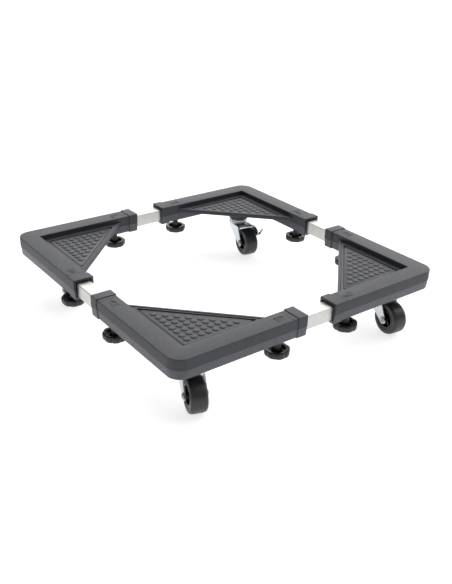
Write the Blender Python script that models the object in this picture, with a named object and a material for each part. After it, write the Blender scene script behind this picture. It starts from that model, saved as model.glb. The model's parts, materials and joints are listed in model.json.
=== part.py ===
"""Adjustable wheeled base: four moulded corners joined by telescoping square tubes.

Each corner carries a swivel caster and two screw feet. The model is in metres, +Z up,
with the floor at z = 0 and the middle of the square at the origin.
Lengths below are written in millimetres and turned into metres when a mesh is made.
"""

import math

import bmesh
import bpy
from mathutils import Matrix, Vector

MM = 0.001

# ---------------------------------------------------------------- driving dimensions (mm)

SIDE = 492.0               # outer face to outer face of the square
TOP = 104.0                # height of the arms' top face above the floor
ARM_WIDTH = 30.5
ARM_HEIGHT = 31.0
ARM_LENGTH = 219.5         # outer corner to arm tip
CORNER_RADIUS = 22.0
ARC_STEPS = 8

PARTING_DROP = 16.0        # parting line below the top face
LOWER_INSET = 0.4          # step at the parting line
LOWER_DRAFT = 1.2          # inset of the bottom edge
EDGE_BREAK = 0.7           # chamfer round the top face

COLLAR_LENGTH = 17.0
COLLAR_PROUD = 1.0
COLLAR_PROUD_INSIDE = 1.5

TUBE_SIZE = 22.0
TUBE_WALL = 1.2
TUBE_CORNER = 1.6
TUBE_INSET = 4.3           # tube side in from the arm's outer face
TUBE_DROP = 4.6            # tube top below the arm's top face
TUBE_SLOT = 9.0            # slot along the tube's underside, which clears the feet's studs
TUBE_LENGTH = 368.0
SOCKET_CLEARANCE = 0.35
SOCKET_START = 32.0        # where the socket ends, measured from the outer corner
MOUTH_DEPTH = 14.0
MOUTH_GAP = 1.7

HYPOTENUSE = 215.4         # x + y along the gusset beam's outer face
BEAM_WIDTH = 10.0
BEAM_DROP = 7.1
BEAM_HEIGHT = 7.2
PANEL_DROP = 8.9
PANEL_THICKNESS = 3.6
GUSSET_OVERLAP = 2.5       # how far the gusset runs into the arms' inner walls
PANEL_SETBACK = 2.0        # panel edge behind the beam's outer face
RIB_THICKNESS = 3.0
RIB_HEIGHT = 17.0
DIAGONAL_HEIGHT = 8.0      # shallower rib from the boss to the beam
POCKET_WALL = 3.6          # wall round the hollow under the rounded corner
POCKET_WEB = 4.0           # wall between that hollow and the sockets

CASTER_INSET = 60.0        # swivel axis from each outer face
BOSS_RADIUS = 18.5
CASTER_HEIGHT = 63.4       # floor to the caster's mounting face
WHEEL_RADIUS = 26.0
WHEEL_WIDTH = 24.5
HUB_RADIUS = 17.0
TRAIL = 36.5
FORK_OUTER = 16.0          # half width over the fork's legs
FORK_SHEET = 2.0
CROWN_TOP = 56.2
CROWN_FRONT = 28.5
CROWN_RADIUS = 17.5
RACE_TOP = 58.3
RACE_BEVEL = 1.4
LIP_BOTTOM = 51.8          # lower edge of the lip that joins the fork's legs
LEG_TIP_RADIUS = 7.2       # round end of a leg about the axle
LEG_REAR = 9.0             # how far a leg runs behind the swivel axis
LEG_WAIST = (3.0, 47.0)    # (y, z) where a leg's rear edge turns down
AXLE_RADIUS = 3.0
AXLE_HEAD_RADIUS = 5.0
AXLE_HEAD_HEIGHT = 2.0
PIN_RADIUS = 4.0
PIN_HEAD_RADIUS = 7.0
PIN_HEAD_HEIGHT = 1.6
STEM_RADIUS = 5.0          # M10 thread
STEM_GAP = 2.0             # stem end below the panel's underside
HUB_BOSS_RADIUS = 6.5
HUB_WEB = 4.0              # half thickness of the wheel's web
HUB_RIM_THICKNESS = 3.0
RUNNING_GAP = 0.3

BRAKE_PIVOT = (-21.0, 48.0)    # (y, z) of the lever's rivet in the fork's frame
LEVER_SHEET = 1.6
LEVER_HEEL = 5.0
LEVER_TOE = (                  # (y, z) of the plate's front part
    (-30.0, 54.6),
    (-38.0, 54.4),
    (-45.0, 51.5),
    (-49.5, 47.0),
    (-50.0, 42.0),
    (-47.5, 39.8),
    (-43.5, 39.6),
    (-33.0, 43.0),
)
SHOE_LOW = (4.0, -36.5, 53.6)  # shoe that presses on the tyre, just ahead of the fork's lip
SHOE_DEPTH = 6.0
PEDAL_UNDER = ((16.9, 40.0), (20.5, 40.4), (25.5, 43.8), (29.5, 50.6))    # (x, z)
PEDAL_OVER = ((28.1, 51.4), (24.3, 45.0), (20.0, 42.0), (16.9, 41.6))
PEDAL_SPAN = (-49.5, -43.0)    # y range of the pedal
RIVET_RADIUS = 1.8
RIVET_HEAD_RADIUS = 3.2
RIVET_HEAD_HEIGHT = 1.2

FOOT_FROM_TIP = 40.0
FOOT_CENTRE = 15.25        # stud axis from the arm's outer face
KNOB_BOTTOM = 48.0
KNOB_RADIUS = 18.8
KNOB_HEIGHT = 10.0
KNOB_LOBES = 8
KNOB_VALLEY = 0.93         # valley radius as a share of the crest radius
DISH_RADIUS = 12.8
DISH_FLOOR = 4.0           # thickness of the knob's floor
NECK_BASE_RADIUS = 7.5
NECK_TOP_RADIUS = 4.4
NECK_TOP = 71.5
STUD_RADIUS = 3.0          # M6 thread
STUD_HOLE_GAP = 0.5
STUD_TOP = 96.9
STUD_BOTTOM = 51.0
NUT_FLATS = 10.0
NUT_HEIGHT = 3.0

# Swivel angles of the casters at rest, in degrees, and the corners' quarter turns.
CORNERS = {
    "front": {"turn": 0, "swivel": -19.0, "brake": False},
    "right": {"turn": 90, "swivel": -8.0, "brake": False},
    "back": {"turn": 180, "swivel": -10.0, "brake": True},
    "left": {"turn": 270, "swivel": -10.0, "brake": False},
}

ARM_BOTTOM = TOP - ARM_HEIGHT
TUBE_TOP = TOP - TUBE_DROP
TUBE_BOTTOM = TUBE_TOP - TUBE_SIZE
PANEL_TOP = TOP - PANEL_DROP
PANEL_BOTTOM = PANEL_TOP - PANEL_THICKNESS
OVERCUT = 6.0              # how far a cutter runs past the face it opens
JOIN = 1.0                 # how far joined shapes run into each other

# ---------------------------------------------------------------- materials

COLOURS = {
    "moulding": ((0.05, 0.052, 0.056), 0.5, 0.0),
    "stainless": ((0.78, 0.77, 0.75), 0.22, 1.0),
    "zinc_plate": ((0.80, 0.82, 0.84), 0.25, 1.0),
    "steel": ((0.55, 0.55, 0.56), 0.35, 1.0),
    "tyre": ((0.025, 0.025, 0.027), 0.6, 0.0),
    "wheel_centre": ((0.03, 0.03, 0.032), 0.45, 0.0),
    "knob_plastic": ((0.045, 0.047, 0.05), 0.5, 0.0),
}


def make_material(node_name, finish):
    """A Principled material for one node."""
    colour, roughness, metallic = COLOURS[finish]
    material = bpy.data.materials.new(node_name)
    material.use_nodes = True
    shader = material.node_tree.nodes["Principled BSDF"]
    shader.inputs["Base Color"].default_value = (*colour, 1.0)
    shader.inputs["Roughness"].default_value = roughness
    shader.inputs["Metallic"].default_value = metallic
    material.diffuse_color = (*colour, 1.0)
    return material


# ---------------------------------------------------------------- mesh helpers


def clear_scene():
    for item in list(bpy.data.objects):
        bpy.data.objects.remove(item, do_unlink=True)


def finish_mesh(name, bm):
    """Turn a bmesh in millimetres into a mesh in metres with its faces pointing out."""
    bmesh.ops.recalc_face_normals(bm, faces=bm.faces[:])
    bmesh.ops.scale(bm, vec=(MM, MM, MM), verts=bm.verts[:])
    mesh = bpy.data.meshes.new(name)
    bm.to_mesh(mesh)
    bm.free()
    return mesh


def loft(rings):
    """Closed body through rings that all have the same number of (x, y, z) points."""
    bm = bmesh.new()
    loops = [[bm.verts.new(point) for point in ring] for ring in rings]
    count = len(loops[0])
    for lower, upper in zip(loops, loops[1:]):
        for i in range(count):
            j = (i + 1) % count
            bm.faces.new((lower[i], lower[j], upper[j], upper[i]))
    bm.faces.new(list(reversed(loops[0])))
    bm.faces.new(loops[-1])
    return bm


def prism(outline, bottom, top):
    """Upright prism on a plan outline."""
    return loft([[(x, y, z) for x, y in outline] for z in (bottom, top)])


def side_prism(outline, left, right):
    """Prism along X on a (y, z) outline."""
    return loft([[(x, y, z) for y, z in outline] for x in (left, right)])


def block(low, high):
    """Rectangular body between two corners."""
    outline = [(low[0], low[1]), (high[0], low[1]), (high[0], high[1]), (low[0], high[1])]
    return prism(outline, low[2], high[2])


def lathe(profile, steps, axis="Z"):
    """Turned body from (radius, height) points, which may start and end on the axis.

    A profile that doesn't touch the axis is closed on itself and makes a ring.
    """
    bm = bmesh.new()
    rows = []
    for radius, height in profile:
        if radius == 0.0:
            rows.append([bm.verts.new((0.0, 0.0, height))] * steps)
            continue
        angles = [2.0 * math.pi * i / steps for i in range(steps)]
        ring = [(radius * math.cos(a), radius * math.sin(a), height) for a in angles]
        rows.append([bm.verts.new(point) for point in ring])
    pairs = list(zip(rows, rows[1:]))
    if profile[0][0] > 0.0:
        pairs.append((rows[-1], rows[0]))
    for lower, upper in pairs:
        for i in range(steps):
            j = (i + 1) % steps
            corners = []
            for vertex in (lower[i], lower[j], upper[j], upper[i]):
                if vertex not in corners:
                    corners.append(vertex)
            if len(corners) > 2:
                bm.faces.new(corners)
    if axis == "X":
        bmesh.ops.rotate(bm, matrix=Matrix.Rotation(math.pi / 2, 3, "Y"), verts=bm.verts[:])
    return bm


def mirrored(side):
    """Close a half profile of (radius, height) points with its mirror image."""
    return side + [(radius, -height) for radius, height in reversed(side)]


def moved(bm, offset):
    bmesh.ops.translate(bm, vec=Vector(offset), verts=bm.verts[:])
    return bm


def circle(radius, steps, centre=(0.0, 0.0), start=0.0, sweep=2.0 * math.pi):
    """Points round an arc; a full circle leaves out its repeated last point."""
    closed = sweep >= 2.0 * math.pi
    parts = steps if closed else steps - 1
    angles = [start + sweep * i / parts for i in range(steps)]
    return [(centre[0] + radius * math.cos(a), centre[1] + radius * math.sin(a)) for a in angles]


def solid_from(pieces, cutters):
    """Union the pieces and subtract the cutters with exact Booleans, giving one mesh."""
    base = bpy.data.objects.new("base", finish_mesh("base", pieces[0]))
    bpy.context.collection.objects.link(base)
    tools = []
    for operation, group in (("UNION", pieces[1:]), ("DIFFERENCE", cutters)):
        for shape in group:
            tool = bpy.data.objects.new("cutter", finish_mesh("cutter", shape))
            bpy.context.collection.objects.link(tool)
            tool.hide_render = True
            tool.display_type = "WIRE"
            modifier = base.modifiers.new(operation.lower(), "BOOLEAN")
            modifier.operation = operation
            modifier.solver = "EXACT"
            modifier.object = tool
            tools.append(tool)
    bpy.context.view_layer.update()
    depsgraph = bpy.context.evaluated_depsgraph_get()
    result = bpy.data.meshes.new_from_object(base.evaluated_get(depsgraph))
    for item in tools + [base]:
        bpy.data.objects.remove(item, do_unlink=True)
    tidy = bmesh.new()
    tidy.from_mesh(result)
    bmesh.ops.dissolve_limit(tidy, angle_limit=0.001, verts=tidy.verts[:], edges=tidy.edges[:])
    tidy.to_mesh(result)
    tidy.free()
    return result


def place(name, mesh, finish, matrix, smooth=False):
    """Add one node, with its own copy of the mesh's material slot."""
    node = bpy.data.objects.new(name, mesh.copy())
    bpy.context.collection.objects.link(node)
    node.data.materials.clear()
    node.data.materials.append(make_material(name, finish))
    if smooth:
        node.data.shade_smooth()
        node.data.set_sharp_from_angle(angle=math.radians(35.0))
    node.matrix_world = matrix
    return node


# ---------------------------------------------------------------- corner moulding


def arm_outline(inset):
    """Plan of the two arms, with every long side moved in by the inset."""
    near = inset
    far = ARM_WIDTH - inset
    bend = CORNER_RADIUS - inset
    centre = (CORNER_RADIUS, CORNER_RADIUS)
    outline = circle(bend, ARC_STEPS, centre, math.pi, math.pi / 2)
    outline += [(ARM_LENGTH, near), (ARM_LENGTH, far), (far, far), (far, ARM_LENGTH)]
    outline.append((near, ARM_LENGTH))
    return outline


def arms_body():
    """L-shaped beam with a drafted lower band and a broken top edge."""
    levels = [
        (ARM_BOTTOM, LOWER_DRAFT),
        (TOP - PARTING_DROP, LOWER_INSET),
        (TOP - PARTING_DROP + LOWER_INSET, 0.0),
        (TOP - EDGE_BREAK, 0.0),
        (TOP, EDGE_BREAK),
    ]
    return loft([[(x, y, z) for x, y in arm_outline(inset)] for z, inset in levels])


def swapped(bm):
    """Mirror a body across the corner's diagonal, so an X arm's shape serves the Y arm."""
    for vertex in bm.verts:
        vertex.co.x, vertex.co.y = vertex.co.y, vertex.co.x
    return bm


def collar_body():
    """Proud ring at the end of the X arm."""
    start = ARM_LENGTH - COLLAR_LENGTH
    proud = COLLAR_PROUD
    inner = ARM_WIDTH + COLLAR_PROUD_INSIDE
    edge = EDGE_BREAK
    levels = [
        (ARM_BOTTOM - proud, LOWER_DRAFT),
        (TOP - PARTING_DROP, LOWER_INSET),
        (TOP - PARTING_DROP + LOWER_INSET, 0.0),
        (TOP + proud - edge, 0.0),
        (TOP + proud, edge),
    ]
    rings = []
    for z, inset in levels:
        low = -proud + inset
        high = inner - inset
        rings.append([(start, low, z), (ARM_LENGTH, low, z), (ARM_LENGTH, high, z), (start, high, z)])
    return loft(rings)


def socket_cutter():
    """Square socket that the tube slides in."""
    gap = SOCKET_CLEARANCE
    low = (SOCKET_START, TUBE_INSET - gap, TUBE_BOTTOM - gap)
    high = (ARM_LENGTH + OVERCUT, TUBE_INSET + TUBE_SIZE + gap, TUBE_TOP + gap)
    return block(low, high)


def mouth_cutter():
    """Wider mouth that leaves a slot between the collar's skin and the tube."""
    gap = MOUTH_GAP
    low = (ARM_LENGTH - MOUTH_DEPTH, TUBE_INSET - gap, TUBE_BOTTOM - SOCKET_CLEARANCE)
    high = (ARM_LENGTH + OVERCUT, TUBE_INSET + TUBE_SIZE + gap, TUBE_TOP + gap)
    return block(low, high)


def foot_cutters():
    """Hexagonal nut pocket under the arm, and the stud's hole into the socket."""
    centre = (ARM_LENGTH - FOOT_FROM_TIP, FOOT_CENTRE)
    pocket_flats = NUT_FLATS + 2.0 * RUNNING_GAP
    pocket = circle(pocket_flats / math.sqrt(3.0), 6, centre, math.pi / 6)
    pocket_top = ARM_BOTTOM + NUT_HEIGHT + RUNNING_GAP
    hole = circle(STUD_RADIUS + STUD_HOLE_GAP, 12, centre)
    return [
        prism(pocket, ARM_BOTTOM - OVERCUT, pocket_top),
        prism(hole, ARM_BOTTOM - OVERCUT, TUBE_BOTTOM + JOIN),
    ]


def gusset_bodies():
    """Sunk panel, its front beam, the caster boss and the ribs under the panel."""
    inside = ARM_WIDTH - GUSSET_OVERLAP
    reach = HYPOTENUSE - inside
    inner_line = HYPOTENUSE - BEAM_WIDTH * math.sqrt(2.0)
    inner_reach = inner_line - inside
    panel_reach = reach - PANEL_SETBACK
    panel = [(inside, inside), (panel_reach, inside), (inside, panel_reach)]
    beam = [(inner_reach, inside), (reach, inside), (inside, reach), (inside, inner_reach)]
    beam_top = TOP - BEAM_DROP
    boss = circle(BOSS_RADIUS, 20, (CASTER_INSET, CASTER_INSET))
    half = RIB_THICKNESS / 2.0
    rib_top = PANEL_BOTTOM + JOIN
    rib_bottom = rib_top - RIB_HEIGHT
    across = block((inside, CASTER_INSET - half, rib_bottom), (CASTER_INSET, CASTER_INSET + half, rib_top))
    diagonal_end = inner_line / 2.0 + JOIN
    slant = half / math.sqrt(2.0)
    diagonal = [
        (CASTER_INSET + slant, CASTER_INSET - slant),
        (diagonal_end + slant, diagonal_end - slant),
        (diagonal_end - slant, diagonal_end + slant),
        (CASTER_INSET - slant, CASTER_INSET + slant),
    ]
    return [
        prism(panel, PANEL_BOTTOM, PANEL_TOP),
        prism(beam, beam_top - BEAM_HEIGHT, beam_top),
        prism(boss, CASTER_HEIGHT + RUNNING_GAP, rib_top),
        across,
        swapped(across.copy()),
        prism(diagonal, rib_top - DIAGONAL_HEIGHT, rib_top),
    ]


def corner_pocket():
    """Hollow under the rounded corner, open at the bottom."""
    wall = POCKET_WALL
    centre = (CORNER_RADIUS, CORNER_RADIUS)
    outline = circle(CORNER_RADIUS - wall, 6, centre, math.pi, math.pi / 2)
    inner = SOCKET_START - POCKET_WEB
    outline += [(inner, wall), (inner, inner), (wall, inner)]
    return prism(outline, ARM_BOTTOM - OVERCUT, TOP - wall)


def corner_mesh():
    """One moulded corner, with its outer corner at the local origin."""
    pieces = [arms_body(), collar_body(), swapped(collar_body())] + gusset_bodies()
    stem_hole = circle(STEM_RADIUS + RUNNING_GAP, 16, (CASTER_INSET, CASTER_INSET))
    cutters = [
        socket_cutter(),
        swapped(socket_cutter()),
        mouth_cutter(),
        swapped(mouth_cutter()),
        corner_pocket(),
        prism(stem_hole, CASTER_HEIGHT - OVERCUT, PANEL_BOTTOM - JOIN),
    ]
    cutters += foot_cutters()
    cutters += [swapped(cutter) for cutter in foot_cutters()]
    return solid_from(pieces, cutters)


# ---------------------------------------------------------------- tubes


def tube_mesh():
    """Square tube along X with rounded corners and a slot along its underside."""
    half = TUBE_SIZE / 2.0
    inner = half - TUBE_WALL
    slot = TUBE_SLOT / 2.0
    round_in = TUBE_CORNER - TUBE_WALL
    outer_turns = [
        ((half - TUBE_CORNER, -half + TUBE_CORNER), -math.pi / 2),
        ((half - TUBE_CORNER, half - TUBE_CORNER), 0.0),
        ((-half + TUBE_CORNER, half - TUBE_CORNER), math.pi / 2),
        ((-half + TUBE_CORNER, -half + TUBE_CORNER), math.pi),
    ]
    outline = [(slot, -half)]
    for centre, start in outer_turns:
        outline += circle(TUBE_CORNER, 4, centre, start, math.pi / 2)
    outline += [(-slot, -half), (-slot, -inner)]
    for centre, start in reversed(outer_turns):
        outline += reversed(circle(round_in, 2, centre, start, math.pi / 2))
    outline.append((slot, -inner))
    middle = TUBE_BOTTOM + half
    ends = (-TUBE_LENGTH / 2.0, TUBE_LENGTH / 2.0)
    return finish_mesh("tube", side_prism([(y, z + middle) for y, z in outline], *ends))


# ---------------------------------------------------------------- caster


def stem_mesh():
    """Threaded stem, upper race and the king pin that holds the fork."""
    race_bottom = RACE_TOP + RUNNING_GAP
    race_radius = CROWN_RADIUS + 1.0
    stem_end = PANEL_BOTTOM - STEM_GAP
    head_top = CROWN_TOP - FORK_SHEET - RUNNING_GAP
    head_bottom = head_top - PIN_HEAD_HEIGHT
    profile = [
        (0.0, stem_end),
        (STEM_RADIUS, stem_end),
        (STEM_RADIUS, CASTER_HEIGHT),
        (race_radius - 1.0, CASTER_HEIGHT),
        (race_radius, CASTER_HEIGHT - RACE_BEVEL),
        (race_radius, race_bottom),
        (PIN_RADIUS, race_bottom),
        (PIN_RADIUS, head_top),
        (PIN_HEAD_RADIUS, head_top),
        (PIN_HEAD_RADIUS - 1.0, head_bottom),
        (0.0, head_bottom),
    ]
    return finish_mesh("stem", lathe(profile, 18))


def fork_leg(side):
    """Tapered leg in the plane across the axle, rounded round the axle hole."""
    axle = (-TRAIL, WHEEL_RADIUS)
    top = CROWN_TOP - FORK_SHEET / 4.0
    tip = circle(LEG_TIP_RADIUS, 8, axle, math.radians(190.0), math.radians(135.0))
    outline = tip + [LEG_WAIST, (LEG_REAR, top), (-CROWN_FRONT, top)]
    inner = side * (FORK_OUTER - FORK_SHEET)
    return side_prism(outline, *sorted((inner, side * FORK_OUTER)))


def fork_mesh(with_rivet_hole):
    """Pressed fork: crown plate, lower race, front lip and two legs."""
    rear = circle(CROWN_RADIUS, 12, (0.0, 0.0), math.radians(24.0), math.radians(132.0))
    crown = rear + [(-FORK_OUTER, -CROWN_FRONT), (FORK_OUTER, -CROWN_FRONT)]
    lip_front = -CROWN_FRONT - FORK_SHEET / 4.0
    lip_low = (-FORK_OUTER, lip_front, LIP_BOTTOM)
    lip_high = (FORK_OUTER, lip_front + FORK_SHEET, CROWN_TOP - FORK_SHEET / 8.0)
    pieces = [
        prism(crown, CROWN_TOP - FORK_SHEET, CROWN_TOP),
        prism(circle(CROWN_RADIUS - 1.5, 18), CROWN_TOP - JOIN, RACE_TOP),
        block(lip_low, lip_high),
        fork_leg(-1.0),
        fork_leg(1.0),
    ]
    axle_hole = lathe(
        [
            (0.0, -FORK_OUTER - OVERCUT),
            (AXLE_RADIUS + RUNNING_GAP, -FORK_OUTER - OVERCUT),
            (AXLE_RADIUS + RUNNING_GAP, FORK_OUTER + OVERCUT),
            (0.0, FORK_OUTER + OVERCUT),
        ],
        12,
        "X",
    )
    cutters = [
        prism(circle(PIN_RADIUS + RUNNING_GAP, 18), CROWN_TOP - OVERCUT, RACE_TOP + OVERCUT),
        moved(axle_hole, (0.0, -TRAIL, WHEEL_RADIUS)),
    ]
    if with_rivet_hole:
        outline = circle(RIVET_RADIUS + RUNNING_GAP, 10, BRAKE_PIVOT)
        cutters.append(side_prism(outline, FORK_OUTER - OVERCUT, FORK_OUTER + OVERCUT))
    return solid_from(pieces, cutters)


def axle_mesh():
    """Riveted axle along X, with a head outside each leg."""
    head_in = FORK_OUTER + RUNNING_GAP
    head_out = head_in + AXLE_HEAD_HEIGHT
    face_radius = AXLE_HEAD_RADIUS * 0.7
    side = [(0.0, head_out), (face_radius, head_out), (AXLE_HEAD_RADIUS, head_in), (AXLE_RADIUS, head_in)]
    return finish_mesh("axle", lathe(mirrored(side), 12, "X"))


def hub_mesh():
    """Wheel centre: bored boss, web and rim."""
    boss_end = FORK_OUTER - FORK_SHEET - RUNNING_GAP
    half = WHEEL_WIDTH / 2.0 - 1.0
    rim_inner = HUB_RADIUS - HUB_RIM_THICKNESS
    side = [
        (AXLE_RADIUS + RUNNING_GAP, boss_end),
        (HUB_BOSS_RADIUS, boss_end),
        (HUB_BOSS_RADIUS + 0.5, HUB_WEB),
        (rim_inner - 0.5, HUB_WEB),
        (rim_inner, half),
        (HUB_RADIUS, half),
    ]
    return finish_mesh("hub", lathe(mirrored(side), 16, "X"))


def tyre_mesh():
    """Solid tyre with rounded shoulders."""
    half = WHEEL_WIDTH / 2.0
    inner = HUB_RADIUS + RUNNING_GAP
    side = [
        (inner, half - 0.6),
        (WHEEL_RADIUS - 3.5, half),
        (WHEEL_RADIUS - 0.9, half - 1.6),
        (WHEEL_RADIUS, half - 5.0),
    ]
    return finish_mesh("tyre", lathe(mirrored(side), 28, "X"))


def brake_mesh():
    """Side lever: plate on the fork's right leg, shoe over the tyre and upturned pedal."""
    inner = FORK_OUTER + RUNNING_GAP
    outer = inner + LEVER_SHEET
    plate = circle(LEVER_HEEL, 6, BRAKE_PIVOT, math.radians(-80.0), math.radians(160.0))
    plate += LEVER_TOE
    shoe_end = (inner + LEVER_SHEET / 2.0, SHOE_LOW[1] + SHOE_DEPTH, SHOE_LOW[2] + LEVER_SHEET)
    shoe = block(SHOE_LOW, shoe_end)
    pedal = loft([[(x, y, z) for x, z in PEDAL_UNDER + PEDAL_OVER] for y in PEDAL_SPAN])
    bore = circle(RIVET_RADIUS + RUNNING_GAP, 10, BRAKE_PIVOT)
    hole = side_prism(bore, inner - OVERCUT, outer + OVERCUT)
    return solid_from([side_prism(plate, inner, outer), shoe, pedal], [hole])


def rivet_mesh():
    """Rivet that the brake lever turns on."""
    inner = FORK_OUTER - FORK_SHEET - RUNNING_GAP
    outer = FORK_OUTER + RUNNING_GAP + LEVER_SHEET + RUNNING_GAP
    inner_face = inner - RIVET_HEAD_HEIGHT / 2.0
    outer_face = outer + RIVET_HEAD_HEIGHT
    profile = [
        (0.0, inner_face),
        (RIVET_HEAD_RADIUS, inner_face),
        (RIVET_HEAD_RADIUS, inner),
        (RIVET_RADIUS, inner),
        (RIVET_RADIUS, outer),
        (RIVET_HEAD_RADIUS, outer),
        (RIVET_HEAD_RADIUS * 0.8, outer_face),
        (0.0, outer_face),
    ]
    return finish_mesh("rivet", moved(lathe(profile, 10, "X"), (0.0, *BRAKE_PIVOT)))


# ---------------------------------------------------------------- screw feet


def lobed_ring(radius, z, steps):
    """Scalloped ring: each lobe has a wide crest and a narrow valley."""
    points = []
    for i in range(steps):
        angle = 2.0 * math.pi * i / steps
        scale = KNOB_VALLEY if i % (steps // KNOB_LOBES) == 0 else 1.0
        points.append((radius * scale * math.cos(angle), radius * scale * math.sin(angle), z))
    return points


def knob_mesh():
    """Scalloped dish with a tapered neck, bored for the stud."""
    steps = KNOB_LOBES * 3
    rim_top = KNOB_BOTTOM + KNOB_HEIGHT
    floor_top = KNOB_BOTTOM + DISH_FLOOR
    bore = STUD_RADIUS + RUNNING_GAP
    rings = [
        lobed_ring(KNOB_RADIUS - 1.6, KNOB_BOTTOM, steps),
        lobed_ring(KNOB_RADIUS, KNOB_BOTTOM + 2.0, steps),
        lobed_ring(KNOB_RADIUS, rim_top, steps),
    ]
    inside = [
        (DISH_RADIUS, rim_top),
        (DISH_RADIUS - 1.0, floor_top),
        (NECK_BASE_RADIUS, floor_top + 1.0),
        (NECK_TOP_RADIUS, NECK_TOP),
        (bore, NECK_TOP),
        (bore, STUD_BOTTOM - RUNNING_GAP),
    ]
    for radius, z in inside:
        rings.append([(x, y, z) for x, y in circle(radius, steps)])
    return finish_mesh("knob", loft(rings))


def stud_mesh():
    profile = [
        (0.0, STUD_BOTTOM),
        (STUD_RADIUS, STUD_BOTTOM),
        (STUD_RADIUS, STUD_TOP - 1.0),
        (STUD_RADIUS - 0.8, STUD_TOP),
        (0.0, STUD_TOP),
    ]
    return finish_mesh("stud", lathe(profile, 12))


def nut_mesh():
    """Hexagon nut that sits in the pocket under the arm."""
    hexagon = circle(NUT_FLATS / math.sqrt(3.0), 6, (0.0, 0.0), math.pi / 6)
    bore = circle(STUD_RADIUS + 0.1, 12)
    cutter = prism(bore, ARM_BOTTOM - OVERCUT, ARM_BOTTOM + OVERCUT + NUT_HEIGHT)
    return solid_from([prism(hexagon, ARM_BOTTOM, ARM_BOTTOM + NUT_HEIGHT)], [cutter])


# ---------------------------------------------------------------- assembly


def shift(x, y, z=0.0):
    return Matrix.Translation((x * MM, y * MM, z * MM))


def turn(degrees):
    return Matrix.Rotation(math.radians(degrees), 4, "Z")


def corner_matrix(quarter):
    """Frame of a corner: its outer corner, turned so both arms run inwards."""
    return turn(quarter) @ shift(-SIDE / 2.0, -SIDE / 2.0)


def build_caster(corner_name, facts, frame_matrix):
    """Stem, fork, axle and wheel of one corner, and its brake lever if it has one."""
    prefix = corner_name + "_caster_"
    swivel_at = frame_matrix @ shift(CASTER_INSET, CASTER_INSET)
    upright = Matrix.Translation(swivel_at.translation) @ turn(facts["swivel"])
    wheel_at = upright @ shift(0.0, -TRAIL, WHEEL_RADIUS)
    place(prefix + "stem", stem_mesh(), "zinc_plate", upright, smooth=True)
    place(prefix + "fork", fork_mesh(facts["brake"]), "zinc_plate", upright)
    place(prefix + "axle", axle_mesh(), "steel", wheel_at, smooth=True)
    place(prefix + "hub", hub_mesh(), "wheel_centre", wheel_at, smooth=True)
    place(prefix + "tyre", tyre_mesh(), "tyre", wheel_at, smooth=True)
    if facts["brake"]:
        place(prefix + "brake_lever", brake_mesh(), "zinc_plate", upright)
        place(prefix + "brake_rivet", rivet_mesh(), "steel", upright, smooth=True)


def build_feet(corner_name, frame_matrix):
    """Two feet on a corner: foot 1 under the arm along local X, foot 2 under the other."""
    reach = ARM_LENGTH - FOOT_FROM_TIP
    for number, spot, angle in ((1, (reach, FOOT_CENTRE), 0.0), (2, (FOOT_CENTRE, reach), 90.0)):
        prefix = f"{corner_name}_foot_{number}_"
        at = frame_matrix @ shift(*spot) @ turn(angle)
        place(prefix + "knob", knob_mesh(), "knob_plastic", at, smooth=True)
        place(prefix + "stud", stud_mesh(), "steel", at, smooth=True)
        place(prefix + "nut", nut_mesh(), "steel", at)


def build_tubes():
    """One tube along each side, centred between the two arms that it joins."""
    across = SIDE / 2.0 - TUBE_INSET - TUBE_SIZE / 2.0
    for name, quarter in (("front_tube", 0), ("right_tube", 90), ("back_tube", 180), ("left_tube", 270)):
        place(name, tube_mesh(), "stainless", turn(quarter) @ shift(0.0, -across))


def build():
    clear_scene()
    corner = corner_mesh()
    for name, facts in CORNERS.items():
        frame_matrix = corner_matrix(facts["turn"])
        place(name + "_corner", corner, "moulding", frame_matrix)
        build_caster(name, facts, frame_matrix)
        build_feet(name, frame_matrix)
    build_tubes()


build()
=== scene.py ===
"""Looks of the adjustable wheeled base: moulded corners, steel tubes, casters and screw feet.

Shapes are written in millimetres, in the frame of the corner or fork that they belong to,
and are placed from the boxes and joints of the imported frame.
"""

import json
import math

import bmesh
import bpy
from mathutils import Matrix, Vector


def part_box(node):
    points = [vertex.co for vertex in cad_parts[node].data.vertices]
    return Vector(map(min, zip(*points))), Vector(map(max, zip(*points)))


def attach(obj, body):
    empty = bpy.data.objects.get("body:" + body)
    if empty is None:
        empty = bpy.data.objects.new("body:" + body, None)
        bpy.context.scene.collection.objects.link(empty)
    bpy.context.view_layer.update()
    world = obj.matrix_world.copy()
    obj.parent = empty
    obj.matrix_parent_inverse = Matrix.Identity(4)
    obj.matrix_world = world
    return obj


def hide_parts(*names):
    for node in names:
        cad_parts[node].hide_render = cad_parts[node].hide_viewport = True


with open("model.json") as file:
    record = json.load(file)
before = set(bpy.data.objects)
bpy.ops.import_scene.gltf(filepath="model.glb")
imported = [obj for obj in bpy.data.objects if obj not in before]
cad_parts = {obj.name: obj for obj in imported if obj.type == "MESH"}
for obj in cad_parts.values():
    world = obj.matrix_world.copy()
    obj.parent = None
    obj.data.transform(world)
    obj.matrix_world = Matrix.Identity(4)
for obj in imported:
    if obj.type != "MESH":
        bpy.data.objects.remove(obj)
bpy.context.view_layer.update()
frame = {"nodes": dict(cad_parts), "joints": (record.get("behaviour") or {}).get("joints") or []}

MM = 0.001
JOINTS = {joint["name"]: joint for joint in frame["joints"]}

# ---------------------------------------------------------------- driving dimensions (mm)

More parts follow.
